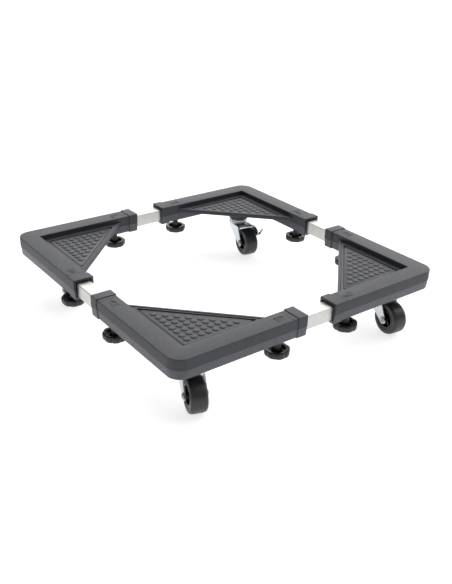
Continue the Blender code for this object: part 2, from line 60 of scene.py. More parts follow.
COLLAR_PROUD = 1.0
COLLAR_PROUD_INSIDE = 1.5
COLLAR_LENGTH = 17.0
CORNER_LOW, CORNER_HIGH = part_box("front_corner")
TUBE_LOW, TUBE_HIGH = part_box("front_tube")
HALF_SIDE = -CORNER_LOW.x / MM - COLLAR_PROUD
ARM_LENGTH = (CORNER_HIGH.x - CORNER_LOW.x) / MM - COLLAR_PROUD
TOP = CORNER_HIGH.z / MM - COLLAR_PROUD
TUBE_SIZE = (TUBE_HIGH.z - TUBE_LOW.z) / MM
TUBE_LENGTH = (TUBE_HIGH.x - TUBE_LOW.x) / MM
TUBE_TOP = TUBE_HIGH.z / MM
TUBE_BOTTOM = TUBE_LOW.z / MM
TUBE_INSET = HALF_SIDE + TUBE_LOW.y / MM

ARM_WIDTH = 30.5
ARM_HEIGHT = 31.0
ARM_BOTTOM = TOP - ARM_HEIGHT
CORNER_RADIUS = 22.0
PARTING_DROP = 16.0
LOWER_INSET = 0.45
LOWER_DRAFT = 1.3
SEAM_DEPTH = 0.4
EDGE_ROUND = 1.1
TUBE_WALL = 1.2
TUBE_CORNER = 1.6
TUBE_SLOT = 9.0
SOCKET_CLEARANCE = 0.35
RUNNING_GAP = 0.3
SOCKET_START = 32.0
MOUTH_DEPTH = 14.0
MOUTH_GAP = 1.9
POCKET_WALL = 3.6           # wall round the hollow under the rounded corner
POCKET_WEB = 4.0            # wall between that hollow and the sockets
NUT_POCKET_WIDTH = 10.6     # across the flats
NUT_POCKET_DEPTH = 3.3

HYPOTENUSE = 215.4
PANEL_TOP = TOP - 8.9
PANEL_BOTTOM = TOP - 12.5
LEDGE_TOP = TOP - 8.1
BEAD_HEIGHT = 0.35
GROOVE_FLOOR = PANEL_TOP - 1.7
BEAM_TOP = TOP - 7.1
BEAM_BOTTOM = TOP - 14.3
BEAM_WIDTH = 10.0
GROOVE_OUT = 41.0
PLATEAU_EDGE = 42.8
STUD_FIRST = 53.2
STUD_SPACING = 11.8
STUD_ROWS = 8
COIN_RADIUS = 5.0
COIN_HEIGHT = 1.25

FORK_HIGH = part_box("front_caster_fork")[1].z / MM
AXLE_AT = Vector(JOINTS["front_wheel_spin"]["pos_m"])
SWIVEL_AT = Vector(JOINTS["front_caster_swivel"]["pos_m"])
CASTER_INSET = 60.0
RACE_TOP = FORK_HIGH
CROWN_TOP = RACE_TOP - 2.1
MOUNT_HEIGHT = RACE_TOP + 5.1
BOSS_RADIUS = 18.5
RIB_THICKNESS = 3.0
RIB_HEIGHT = 17.0
DIAGONAL_HEIGHT = 8.0
RACE_RADIUS = 18.5
CROWN_FRONT = 28.5
CROWN_RADIUS = 17.5
FORK_OUTER = 16.0
FORK_SHEET = 2.0
TRAIL = math.hypot(AXLE_AT.x - SWIVEL_AT.x, AXLE_AT.y - SWIVEL_AT.y) / MM
WHEEL_RADIUS = AXLE_AT.z / MM
WHEEL_HALF = 12.25
HUB_RADIUS = 17.0
PIN_RADIUS = 4.0
STEM_RADIUS = 5.0
AXLE_RADIUS = 3.0
RIVET_RADIUS = 1.8
LEVER_SHEET = 1.6

KNOB_LOW, KNOB_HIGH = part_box("front_foot_1_knob")
STUD_LOW, STUD_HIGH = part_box("front_foot_1_stud")
FOOT_FROM_TIP = 40.0
FOOT_CENTRE = 15.25
KNOB_BOTTOM = KNOB_LOW.z / MM
KNOB_TOP = KNOB_BOTTOM + 10.0
KNOB_RADIUS = 18.8
KNOB_LOBES = 8
LOBE_DEPTH = 0.085          # share of the knob's radius
NECK_TOP = KNOB_HIGH.z / MM
STUD_BOTTOM = STUD_LOW.z / MM
STUD_TOP = STUD_HIGH.z / MM
STUD_RADIUS = 3.0
THREAD_PITCH = 1.0

QUARTER_TURNS = {"front": 0, "right": 90, "back": 180, "left": 270}
BRAKED = ("back",)

# ---------------------------------------------------------------- materials


class Nodes:
    """Short way to add and join shader nodes of one material."""

    def __init__(self, name):
        self.material = bpy.data.materials.new(name)
        self.material.use_nodes = True
        self.tree = self.material.node_tree
        self.shader = self.tree.nodes["Principled BSDF"]

    def add(self, kind, **settings):
        node = self.tree.nodes.new(kind)
        for key, value in settings.items():
            setattr(node, key, value)
        return node

    def join(self, out, into):
        self.tree.links.new(out, into)

    def coordinates(self, stretch=(1.0, 1.0, 1.0)):
        """Object coordinates, stretched along the object's axes."""
        source = self.add("ShaderNodeTexCoord")
        mapping = self.add("ShaderNodeMapping")
        mapping.inputs["Scale"].default_value = stretch
        self.join(source.outputs["Object"], mapping.inputs["Vector"])
        return mapping.outputs["Vector"]

    def noise(self, scale, detail, vector, roughness=0.5):
        node = self.add("ShaderNodeTexNoise")
        node.inputs["Scale"].default_value = scale
        node.inputs["Detail"].default_value = detail
        node.inputs["Roughness"].default_value = roughness
        self.join(vector, node.inputs["Vector"])
        return node.outputs["Fac"]

    def ramp(self, value, stops):
        """Colour ramp from (position, colour) stops."""
        node = self.add("ShaderNodeValToRGB")
        elements = node.color_ramp.elements
        while len(elements) < len(stops):
            elements.new(0.5)
        for element, (position, colour) in zip(elements, stops):
            element.position = position
            element.color = (*colour, 1.0)
        self.join(value, node.inputs["Fac"])
        return node.outputs["Color"]

    def span(self, value, low, high):
        """The value, moved from 0.25..0.75 to low..high."""
        node = self.add("ShaderNodeMapRange")
        node.inputs["From Min"].default_value = 0.25
        node.inputs["From Max"].default_value = 0.75
        node.inputs["To Min"].default_value = low
        node.inputs["To Max"].default_value = high
        self.join(value, node.inputs["Value"])
        return node.outputs["Result"]

    def bump(self, height, distance, strength, under=None):
        node = self.add("ShaderNodeBump")
        node.inputs["Distance"].default_value = distance
        node.inputs["Strength"].default_value = strength
        self.join(height, node.inputs["Height"])
        if under is not None:
            self.join(under, node.inputs["Normal"])
        return node.outputs["Normal"]


def shaded(value, colour):
    return tuple(value * channel for channel in colour)


def plastic(name, colour, roughness, grain, depth):
    """Moulded plastic: fine spark texture, faint cloudiness and dusty high spots."""
    nodes = Nodes(name)
    where = nodes.coordinates()
    spark = nodes.noise(grain, 3.0, where, 0.6)
    cloud = nodes.noise(55.0, 4.0, where)
    scuff = nodes.noise(420.0, 6.0, where, 0.7)
    tint = nodes.ramp(cloud, [(0.30, shaded(0.90, colour)), (0.70, shaded(1.10, colour))])
    speck = nodes.ramp(spark, [(0.36, (0.60, 0.60, 0.60)), (0.66, (1.45, 1.45, 1.45))])
    mix = nodes.add("ShaderNodeMix", data_type="RGBA", blend_type="MULTIPLY")
    mix.inputs["Factor"].default_value = 1.0
    nodes.join(tint, mix.inputs["A"])
    nodes.join(speck, mix.inputs["B"])
    nodes.join(mix.outputs["Result"], nodes.shader.inputs["Base Color"])
    nodes.join(nodes.span(scuff, roughness - 0.07, roughness + 0.09), nodes.shader.inputs["Roughness"])
    coarse = nodes.bump(spark, 0.00022, depth)
    nodes.join(nodes.bump(scuff, 0.00006, 0.25, coarse), nodes.shader.inputs["Normal"])
    return nodes.material


def rolled_steel(name, colour, roughness, along):
    """Bright sheet steel with mill lines along one axis and faint mottling."""
    nodes = Nodes(name)
    nodes.shader.inputs["Metallic"].default_value = 1.0
    stretch = [1.0, 1.0, 1.0]
    stretch[along] = 0.03
    lines = nodes.noise(900.0, 4.0, nodes.coordinates(tuple(stretch)), 0.65)
    where = nodes.coordinates()
    mottle = nodes.noise(70.0, 5.0, where, 0.6)
    dark, light = shaded(0.86, colour), shaded(1.05, colour)
    tint = nodes.ramp(mottle, [(0.28, dark), (0.60, colour), (0.75, light)])
    nodes.join(tint, nodes.shader.inputs["Base Color"])
    both = nodes.add("ShaderNodeMath", operation="ADD")
    nodes.join(nodes.span(lines, -0.05, 0.06), both.inputs[0])
    nodes.join(nodes.span(mottle, roughness - 0.04, roughness + 0.08), both.inputs[1])
    nodes.join(both.outputs["Value"], nodes.shader.inputs["Roughness"])
    nodes.join(nodes.bump(lines, 0.00003, 0.35), nodes.shader.inputs["Normal"])
    return nodes.material


def plated_steel(name, colour, roughness):
    """Zinc plate: bright, with a fine orange peel and cloudy patches."""
    nodes = Nodes(name)
    nodes.shader.inputs["Metallic"].default_value = 1.0
    where = nodes.coordinates()
    cloud = nodes.noise(120.0, 4.0, where, 0.6)
    peel = nodes.noise(650.0, 3.0, where)
    tint = nodes.ramp(cloud, [(0.25, shaded(0.88, colour)), (0.72, shaded(1.04, colour))])
    nodes.join(tint, nodes.shader.inputs["Base Color"])
    nodes.join(nodes.span(cloud, roughness - 0.05, roughness + 0.08), nodes.shader.inputs["Roughness"])
    nodes.join(nodes.bump(peel, 0.00003, 0.3), nodes.shader.inputs["Normal"])
    return nodes.material


MOULDING = plastic("moulded_grey_plastic", (0.0255, 0.0272, 0.0355), 0.50, 950.0, 0.75)
# Below the parting line: the same grey plastic with a lighter base colour, which is painted light from
# the bright floor.
LOWER_BAND_PAINTED_LIGHT = plastic("lower_band_painted_floor_light", (0.060, 0.0625, 0.075), 0.44, 1100.0, 0.45)
PANEL = plastic("tread_panel_plastic", (0.0285, 0.0300, 0.0385), 0.46, 1100.0, 0.45)
KNOB = plastic("knob_black_plastic", (0.008, 0.0083, 0.0092), 0.33, 1800.0, 0.25)
HUB = plastic("wheel_centre_black_plastic", (0.007, 0.007, 0.0078), 0.28, 900.0, 0.15)
TYRE = plastic("tyre_black", (0.021, 0.021, 0.0228), 0.36, 1100.0, 0.45)
TUBE_STEEL = rolled_steel("bright_tube_steel", (0.60, 0.60, 0.58), 0.38, 0)
ZINC = plated_steel("zinc_plated_steel", (0.62, 0.645, 0.67), 0.27)
DARK_STEEL = plated_steel("plain_steel", (0.42, 0.42, 0.43), 0.34)

# ---------------------------------------------------------------- mesh helpers


def body_from(bm, name):
    """A mesh in metres from a bmesh in millimetres, faces pointing out."""
    bmesh.ops.recalc_face_normals(bm, faces=bm.faces[:])
    bmesh.ops.scale(bm, vec=(MM, MM, MM), verts=bm.verts[:])
    mesh = bpy.data.meshes.new(name)
    bm.to_mesh(mesh)
    bm.free()
    return mesh


def add_rings(bm, rings, capped=True):
    """Skin a run of rings with equal counts; without caps the last ring joins the first."""
    loops = [[bm.verts.new(point) for point in ring] for ring in rings]
    pairs = list(zip(loops, loops[1:]))
    if not capped:
        pairs.append((loops[-1], loops[0]))
    count = len(loops[0])
    for lower, upper in pairs:
        for i in range(count):
            j = (i + 1) % count
            bm.faces.new((lower[i], lower[j], upper[j], upper[i]))
    if capped:
        bm.faces.new(list(reversed(loops[0])))
        bm.faces.new(loops[-1])
    return bm


def loft(rings, capped=True):
    return add_rings(bmesh.new(), rings, capped)


def prism(outline, low, high):
    """Upright prism on a plan outline."""
    return loft([[(x, y, z) for x, y in outline] for z in (low, high)])


def side_prism(outline, low, high):
    """Prism along X on a (y, z) outline."""
    return loft([[(x, y, z) for y, z in outline] for x in (low, high)])


def front_prism(outline, low, high):
    """Prism along Y on an (x, z) outline."""
    return loft([[(x, y, z) for x, z in outline] for y in (low, high)])


def block(low, high):
    outline = [(low[0], low[1]), (high[0], low[1]), (high[0], high[1]), (low[0], high[1])]
    return prism(outline, low[2], high[2])


def arc(centre, radius, start, end, steps):
    """Points round an arc, angles in degrees, both ends included."""
    points = []
    for i in range(steps + 1):
        angle = math.radians(start + (end - start) * i / steps)
        points.append((centre[0] + radius * math.cos(angle), centre[1] + radius * math.sin(angle)))
    return points


def circle(radius, steps, centre=(0.0, 0.0)):
    return arc(centre, radius, 0.0, 360.0, steps)[:-1]


def rounded(corners, radius, steps=4):
    """A convex outline with each corner rounded; radius is one number or one per corner."""
    radii = radius if isinstance(radius, (list, tuple)) else [radius] * len(corners)
    points = []
    count = len(corners)
    for i in range(count):
        here = Vector(corners[i])
        back = (Vector(corners[i - 1]) - here).normalized()
        ahead = (Vector(corners[(i + 1) % count]) - here).normalized()
        half = back.angle(ahead) / 2.0
        reach = radii[i] / math.tan(half)
        centre = here + (back + ahead).normalized() * (radii[i] / math.sin(half))
        first = here + back * reach - centre
        turn = (here + ahead * reach - centre).angle_signed(first)
        for k in range(steps + 1):
            angle = turn * k / steps
            spun = Matrix.Rotation(angle, 2) @ first
            points.append(tuple(centre + spun))
    return points


def lathe(profile, steps, axis="Z"):
    """Turned body from (radius, height) points; off the axis at both ends it makes a ring."""
    bm = bmesh.new()
    rows = []
    for radius, height in profile:
        if radius == 0.0:
            rows.append([bm.verts.new((0.0, 0.0, height))] * steps)
        else:
            rows.append([bm.verts.new((x, y, height)) for x, y in circle(radius, steps)])
    pairs = list(zip(rows, rows[1:]))
    if profile[0][0] > 0.0:
        pairs.append((rows[-1], rows[0]))
    for lower, upper in pairs:
        for i in range(steps):
            j = (i + 1) % steps
            face = []
            for vertex in (lower[i], lower[j], upper[j], upper[i]):
                if vertex not in face:
                    face.append(vertex)
            if len(face) > 2:
                bm.faces.new(face)
    if axis == "X":
        bmesh.ops.rotate(bm, matrix=Matrix.Rotation(math.pi / 2, 3, "Y"), verts=bm.verts[:])
    return bm


def mirrored(side):
    return side + [(radius, -height) for radius, height in reversed(side)]


def moved(bm, offset):
    bmesh.ops.translate(bm, vec=Vector(offset), verts=bm.verts[:])
    return bm


def swapped(bm):
    """Mirror across the corner's diagonal, from the X arm to the Y arm."""
    for vertex in bm.verts:
        vertex.co.x, vertex.co.y = vertex.co.y, vertex.co.x
    return bm


def carved(steps):
    """Mesh from Boolean steps [(operation, bmesh), ...]; the first step is the base."""
    base = bpy.data.objects.new("carving", body_from(steps[0][1], "carving"))
    bpy.context.scene.collection.objects.link(base)
    tools = []
    for operation, bm in steps[1:]:
        tool = bpy.data.objects.new("tool", body_from(bm, "tool"))
        bpy.context.scene.collection.objects.link(tool)
        modifier = base.modifiers.new("carve", "BOOLEAN")
        modifier.operation = operation
        modifier.solver = "EXACT"
        modifier.object = tool
        tools.append(tool)
    bpy.context.view_layer.update()
    graph = bpy.context.evaluated_depsgraph_get()
    mesh = bpy.data.meshes.new_from_object(base.evaluated_get(graph))
    for item in tools + [base]:
        bpy.data.objects.remove(item, do_unlink=True)
    return mesh


def piece(name, mesh, matrix, body, material, replaced=(), crease=32.0, lower=None):
    """Place one piece, ride it on its body and hide the CAD nodes that it stands for.

    lower is a second material and the height in mm below which it is used.
    """
    item = bpy.data.objects.new(name, mesh.copy())
    bpy.context.scene.collection.objects.link(item)
    item.data.materials.clear()
    item.data.materials.append(material)
    if lower:
        item.data.materials.append(lower[0])
        for face in item.data.polygons:
            face.material_index = int(face.center.z < lower[1] * MM)
    item.data.shade_smooth()
    item.data.set_sharp_from_angle(angle=math.radians(crease))
    item.matrix_world = matrix
    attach(item, body)
    if replaced:
        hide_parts(*replaced)
    return item


# ---------------------------------------------------------------- corner moulding


def arm_outline(inset):
    """Plan of the two arms with every long side moved in by the inset."""
    far = ARM_WIDTH - inset
    centre = (CORNER_RADIUS, CORNER_RADIUS)
    outline = arc(centre, CORNER_RADIUS - inset, 180.0, 270.0, 14)
    outline += [(ARM_LENGTH, inset), (ARM_LENGTH, far), (far, far), (far, ARM_LENGTH)]
    outline.append((inset, ARM_LENGTH))
    return outline


def side_levels(bottom, top):
    """(height, inset) steps up an arm's side: lower band, parting line, upper band, edge."""
    parting = TOP - PARTING_DROP
    foot = LOWER_INSET + LOWER_DRAFT
    levels = []
    for angle in (0.0, 30.0, 60.0, 90.0):
        rise = EDGE_ROUND * (1.0 - math.cos(math.radians(angle)))
        levels.append((bottom + rise, foot + EDGE_ROUND * (1.0 - math.sin(math.radians(angle)))))
    levels += [
        (parting - 0.55, LOWER_INSET),
        (parting - 0.45, LOWER_INSET + SEAM_DEPTH),
        (parting, LOWER_INSET + SEAM_DEPTH),
        (parting + 0.1, 0.0),
    ]
    for angle in (0.0, 22.5, 45.0, 67.5, 90.0):
        rise = EDGE_ROUND * math.sin(math.radians(angle))
        levels.append((top - EDGE_ROUND + rise, EDGE_ROUND * (1.0 - math.cos(math.radians(angle)))))
    return levels


def arms_solid():
    levels = side_levels(ARM_BOTTOM, TOP)
    return loft([[(x, y, z) for x, y in arm_outline(inset)] for z, inset in levels])


def collar_section(shrink):
    """(y, z) outline of a collar: proud all round, with the parting line on both sides."""
    levels = side_levels(ARM_BOTTOM - COLLAR_PROUD + shrink, TOP + COLLAR_PROUD - shrink)
    near = [(-COLLAR_PROUD + shrink + inset, z) for z, inset in levels]
    far = [(ARM_WIDTH + COLLAR_PROUD_INSIDE - shrink - inset, z) for z, inset in levels]
    return near + list(reversed(far))


def collar_solid():
    """Ring at the arm's end, with small chamfers at both of its ends."""
    start = ARM_LENGTH - COLLAR_LENGTH
    stations = [(start, 0.55), (start + 0.5, 0.0), (ARM_LENGTH - 0.7, 0.0), (ARM_LENGTH, 0.6)]
    return loft([[(x, y, z) for y, z in collar_section(shrink)] for x, shrink in stations])


def socket_tool():
    gap = SOCKET_CLEARANCE
    low = (SOCKET_START, TUBE_INSET - gap, TUBE_BOTTOM - gap)
    return block(low, (ARM_LENGTH + 5.0, TUBE_INSET + TUBE_SIZE + gap, TUBE_TOP + gap))


def mouth_tool():
    """Wider mouth with rounded corners, which leaves a dark slot round the tube."""
    gap = MOUTH_GAP
    corners = [
        (TUBE_INSET - gap, TUBE_BOTTOM - SOCKET_CLEARANCE),
        (TUBE_INSET + TUBE_SIZE + gap, TUBE_BOTTOM - SOCKET_CLEARANCE),
        (TUBE_INSET + TUBE_SIZE + gap, TUBE_TOP + gap),
        (TUBE_INSET - gap, TUBE_TOP + gap),
    ]
    return side_prism(rounded(corners, 0.9, 3), ARM_LENGTH - MOUTH_DEPTH, ARM_LENGTH + 5.0)


def foot_tools():
    """Hexagonal nut pocket and the stud's hole into the socket."""
    centre = (ARM_LENGTH - FOOT_FROM_TIP, FOOT_CENTRE)
    pocket = arc(centre, NUT_POCKET_WIDTH / math.sqrt(3.0), 30.0, 390.0, 6)[:-1]
    return [
        prism(pocket, ARM_BOTTOM - 5.0, ARM_BOTTOM + NUT_POCKET_DEPTH),
        prism(circle(STUD_RADIUS + 0.5, 24, centre), ARM_BOTTOM - 5.0, TUBE_BOTTOM + 1.0),
    ]


def line_tool():
    """Fine line across the arm's top, just behind the collar."""
    at = ARM_LENGTH - COLLAR_LENGTH - 8.2
    return block((at, -2.0, TOP - 0.35), (at + 0.7, ARM_WIDTH + 2.0, TOP + 3.0))


def corner_pocket():
    """Hollow under the rounded corner, open at the bottom."""
    inner = SOCKET_START - POCKET_WEB
    outline = arc((CORNER_RADIUS, CORNER_RADIUS), CORNER_RADIUS - POCKET_WALL, 180.0, 270.0, 10)
    outline += [(inner, POCKET_WALL), (inner, inner), (POCKET_WALL, inner)]
    return prism(outline, ARM_BOTTOM - 5.0, TOP - POCKET_WALL)


def shell_mesh():
    """Both arms and collars with their sockets, mouths, foot holes and fine lines."""
    steps = [("UNION", arms_solid()), ("UNION", collar_solid()), ("UNION", swapped(collar_solid()))]
    tools = [socket_tool(), mouth_tool(), line_tool()] + foot_tools()
    for tool in tools:
        steps.append(("DIFFERENCE", tool.copy()))
        steps.append(("DIFFERENCE", swapped(tool)))
    steps.append(("DIFFERENCE", corner_pocket()))
    return carved(steps)


def triangle(leg, depth, radius):
    """Plan triangle with two sides at x = leg and y = leg, and one behind the beam's face."""
    far = HYPOTENUSE - depth * math.sqrt(2.0) - leg
    corners = [(leg, leg), (far, leg), (leg, far)]
    return rounded(corners, [radius, radius * 0.8, radius * 0.8], 4)


def panel_mesh():
    """Ledge, a bead all round, the groove and the plateau that carries the tread."""
    outer = ARM_WIDTH - 1.0
    bead_top = LEDGE_TOP + BEAD_HEIGHT
    steps = [
        (outer, PANEL_BOTTOM, 0.3, 4.5),
        (outer, LEDGE_TOP, 0.3, 4.5),
        (GROOVE_OUT - 1.9, LEDGE_TOP, 1.2, 4.8),
        (GROOVE_OUT - 1.5, bead_top, 1.4, 5.2),
        (GROOVE_OUT - 0.5, bead_top, 1.8, 7.0),
        (GROOVE_OUT - 0.1, LEDGE_TOP - 0.1, 2.0, 7.5),
        (GROOVE_OUT, GROOVE_FLOOR, 2.1, 7.7),
        (PLATEAU_EDGE - 0.5, GROOVE_FLOOR, 3.0, 8.9),
        (PLATEAU_EDGE - 0.3, PANEL_TOP - 0.35, 3.1, 9.1),
        (PLATEAU_EDGE, PANEL_TOP, 3.2, 9.4),
    ]
    rings = [[(x, y, z) for x, y in triangle(leg, depth, radius)] for leg, z, radius, depth in steps]
    return body_from(loft(rings), "panel")


def coins_mesh():
    """Round low studs on a square grid that fills the panel's triangle."""
    bm = bmesh.new()
    section = ((1.0, -0.3), (1.0, 0.15), (0.94, 0.5), (0.82, 0.78), (0.60, 0.95), (0.30, 1.0))
    for row in range(STUD_ROWS):
        for column in range(STUD_ROWS - row):
            centre = (STUD_FIRST + STUD_SPACING * column, STUD_FIRST + STUD_SPACING * row)
            rings = []
            for share, rise in section:
                outline = circle(COIN_RADIUS * share, 24, centre)
                rings.append([(x, y, PANEL_TOP + COIN_HEIGHT * rise) for x, y in outline])
            add_rings(bm, rings)
    return body_from(bm, "coins")


def beam_mesh():
    """Front beam across the two arms: a flat ridge, then a step down under the panel's rim."""
    across = [
        (0.6, BEAM_BOTTOM),
        (0.0, BEAM_BOTTOM + 0.7),
        (0.0, BEAM_TOP - 0.9),
        (0.3, BEAM_TOP - 0.25),
        (0.9, BEAM_TOP),
        (3.3, BEAM_TOP),
        (3.8, BEAM_TOP - 0.3),
        (4.0, BEAM_TOP - 0.9),
        (4.0, PANEL_TOP - 1.0),
        (4.6, PANEL_TOP - 2.2),
        (BEAM_WIDTH, PANEL_TOP - 2.2),
        (BEAM_WIDTH, BEAM_BOTTOM),
    ]
    inside = ARM_WIDTH - 1.2
    start, end = [], []
    for depth, z in across:
        reach = HYPOTENUSE - depth * math.sqrt(2.0) - inside
        start.append((reach, inside, z))
        end.append((inside, reach, z))
    return body_from(loft([start, end]), "beam")


def underside_mesh():
    """Caster boss with a rounded foot, and the ribs that tie it to the arms and beam."""
    top = PANEL_BOTTOM + 1.0
    foot = MOUNT_HEIGHT + 0.3
    profile = [(STEM_RADIUS + 0.3, top), (STEM_RADIUS + 0.3, foot), (BOSS_RADIUS - 1.0, foot)]
    profile += [(BOSS_RADIUS, foot + 1.0), (BOSS_RADIUS, top - 3.0), (BOSS_RADIUS + 3.0, top)]
    boss = moved(lathe(profile, 40), (CASTER_INSET, CASTER_INSET, 0.0))
    steps = [("UNION", boss)]
    inside = ARM_WIDTH - 1.2
    wall = BOSS_RADIUS - 1.5
    half = RIB_THICKNESS / 2.0
    start = (inside, CASTER_INSET - half, top - RIB_HEIGHT)
    across = block(start, (CASTER_INSET - wall, CASTER_INSET + half, top))
    steps.append(("UNION", across.copy()))
    steps.append(("UNION", swapped(across)))
    near = CASTER_INSET + wall / math.sqrt(2.0)
    far = (HYPOTENUSE - BEAM_WIDTH * math.sqrt(2.0)) / 2.0 + 1.0
    slant = half / math.sqrt(2.0)
    diagonal = [
        (near + slant, near - slant),
        (far + slant, far - slant),
        (far - slant, far + slant),
        (near - slant, near + slant),
    ]
    steps.append(("UNION", prism(diagonal, top - DIAGONAL_HEIGHT, top)))
    return carved(steps)


def mark_mesh():
    """Raised sliding mark on the arm's top: two chevrons and three short bars."""
    bm = bmesh.new()
    middle = ARM_WIDTH / 2.0
    tip = ARM_LENGTH - COLLAR_LENGTH - 12.0
    outlines = []
    for shift in (0.0, 4.5):
        for side in (-1.0, 1.0):
            wing = middle + side * 5.0
            start = tip - shift
            outline = [(start, middle), (start - 4.0, wing), (start - 5.4, wing), (start - 1.4, middle)]
            outlines.append(outline)
    for offset in (-4.5, 0.0, 4.5):
        bar = middle + offset
        near, far = tip - 11.5, tip - 17.0
        outline = [(far, bar - 1.0), (near, bar - 1.0), (near, bar + 1.0), (far, bar + 1.0)]
        outlines.append(rounded(outline, 0.6, 2))
    for outline in outlines:
        add_rings(bm, [[(x, y, z) for x, y in outline] for z in (TOP - 0.3, TOP + 0.45)])
    return body_from(bm, "mark")


def corner_matrix(quarter):
    turn = Matrix.Rotation(math.radians(quarter), 4, "Z")
    return turn @ Matrix.Translation((-HALF_SIDE * MM, -HALF_SIDE * MM, 0.0))


def build_corners():
    shell, panel, coins = shell_mesh(), panel_mesh(), coins_mesh()
    beam, underside, mark = beam_mesh(), underside_mesh(), mark_mesh()
    swap = Matrix(((0, 1, 0, 0), (1, 0, 0, 0), (0, 0, 1, 0), (0, 0, 0, 1)))
    other_mark = mark.copy()
    other_mark.transform(swap)
    other_mark.flip_normals()
    # Faces below the parting line get the lower band's material, whose lighter colour is painted floor
    # light.
    band = (LOWER_BAND_PAINTED_LIGHT, TOP - PARTING_DROP - 0.5)
    for name, quarter in QUARTER_TURNS.items():
        at = corner_matrix(quarter)
        cad = [name + "_corner"]
        piece(name + "_arms", shell, at, name, MOULDING, cad, lower=band)
        piece(name + "_panel", panel, at, name, PANEL)
        piece(name + "_tread_coins", coins, at, name, PANEL, crease=50.0)
        piece(name + "_beam", beam, at, name, MOULDING)
        piece(name + "_boss_and_ribs", underside, at, name, MOULDING)
        piece(name + "_mark_1", mark, at, name, MOULDING)
        piece(name + "_mark_2", other_mark, at, name, MOULDING)


# ---------------------------------------------------------------- tubes


def tube_section(size, radius, steps):
    """Half open section of the square tube, from the slot's right edge round to its left."""
    half = size / 2.0
    slot = TUBE_SLOT / 2.0
    points = [(slot, -half)]
    for sx, sy, start in ((1, -1, -90.0), (1, 1, 0.0), (-1, 1, 90.0), (-1, -1, 180.0)):
        centre = (sx * (half - radius), sy * (half - radius))
        points += arc(centre, radius, start, start + 90.0, steps)
    points.append((-slot, -half))
    return points


def tube_mesh():
    """Slotted square tube along X with softly rounded corners and chamfered ends."""
    inner = tube_section(TUBE_SIZE - 2.0 * TUBE_WALL, TUBE_CORNER - TUBE_WALL, 6)
    middle = TUBE_BOTTOM + TUBE_SIZE / 2.0
    rings = []
    half = TUBE_LENGTH / 2.0
    for x, shrink in ((-half, 0.3), (-half + 0.3, 0.0), (half - 0.3, 0.0), (half, 0.3)):
        outer = tube_section(TUBE_SIZE - 2.0 * shrink, TUBE_CORNER, 6)
        outline = outer + list(reversed(inner))
        rings.append([(x, y, z + middle) for y, z in outline])
    return body_from(loft(rings), "tube")


def build_tubes():
    tube = tube_mesh()
    across = (HALF_SIDE - TUBE_INSET - TUBE_SIZE / 2.0) * MM
    for name, quarter in QUARTER_TURNS.items():
        at = Matrix.Rotation(math.radians(quarter), 4, "Z") @ Matrix.Translation((0.0, -across, 0.0))
        steel = [name + "_tube"]
        piece(name + "_square_tube", tube, at, name + "_slider", TUBE_STEEL, steel)


# ---------------------------------------------------------------- casters


def stem_mesh():
    """Threaded stem, upper race dish and the king pin."""
    profile = [(0.0, PANEL_BOTTOM - 2.0), (STEM_RADIUS - 0.8, PANEL_BOTTOM - 2.0)]
    turns = int((PANEL_BOTTOM - 3.0 - MOUNT_HEIGHT) / 1.5)
    for i in range(turns):
        z = PANEL_BOTTOM - 2.8 - 1.5 * i
        profile += [(STEM_RADIUS, z), (STEM_RADIUS - 0.8, z - 0.75)]
    profile += [
        (STEM_RADIUS, MOUNT_HEIGHT + 0.6),
        (STEM_RADIUS, MOUNT_HEIGHT),
        (RACE_RADIUS - 2.6, MOUNT_HEIGHT),
        (RACE_RADIUS - 1.5, MOUNT_HEIGHT - 0.4),
        (RACE_RADIUS - 0.9, MOUNT_HEIGHT - 1.4),
        (RACE_RADIUS - 0.7, RACE_TOP + 1.6),
        (RACE_RADIUS - 0.3, RACE_TOP + 1.2),
        (RACE_RADIUS, RACE_TOP + 0.9),
        (RACE_RADIUS, RACE_TOP + 0.45),
        (RACE_RADIUS - 0.3, RACE_TOP + 0.3),
        (PIN_RADIUS, RACE_TOP + 0.3),
        (PIN_RADIUS, CROWN_TOP - FORK_SHEET - 0.3),
        (PIN_RADIUS + 3.0, CROWN_TOP - FORK_SHEET - 0.3),
        (PIN_RADIUS + 2.6, CROWN_TOP - FORK_SHEET - 1.3),
        (PIN_RADIUS + 1.2, CROWN_TOP - FORK_SHEET - 1.9),
        (0.0, CROWN_TOP - FORK_SHEET - 1.9),
    ]
    return body_from(lathe(profile, 40), "stem")


def channel_outline(half, top, bottom, bend):
    """(x, z) outline of an arch: straight sides up to a rounded top."""
    right = arc((half - bend, top - bend), bend, 0.0, 90.0, 6)
    left = arc((-half + bend, top - bend), bend, 90.0, 180.0, 6)
    return [(half, bottom)] + right + left + [(-half, bottom)]


def leg_outline():
    """(y, z) side view of the fork: crown, and legs that taper to the axle."""
    tip = arc((-TRAIL, WHEEL_RADIUS), 7.3, 190.0, 325.0, 12)
    rear = [(2.6, CROWN_TOP - 11.4), (8.6, CROWN_TOP - 5.6), (CROWN_RADIUS, CROWN_TOP - 3.2)]
    rear.append((CROWN_RADIUS, CROWN_TOP + 1.0))
    return tip + rear + [(-CROWN_FRONT, CROWN_TOP + 1.0), (-CROWN_FRONT - 0.4, CROWN_TOP - 4.0)]


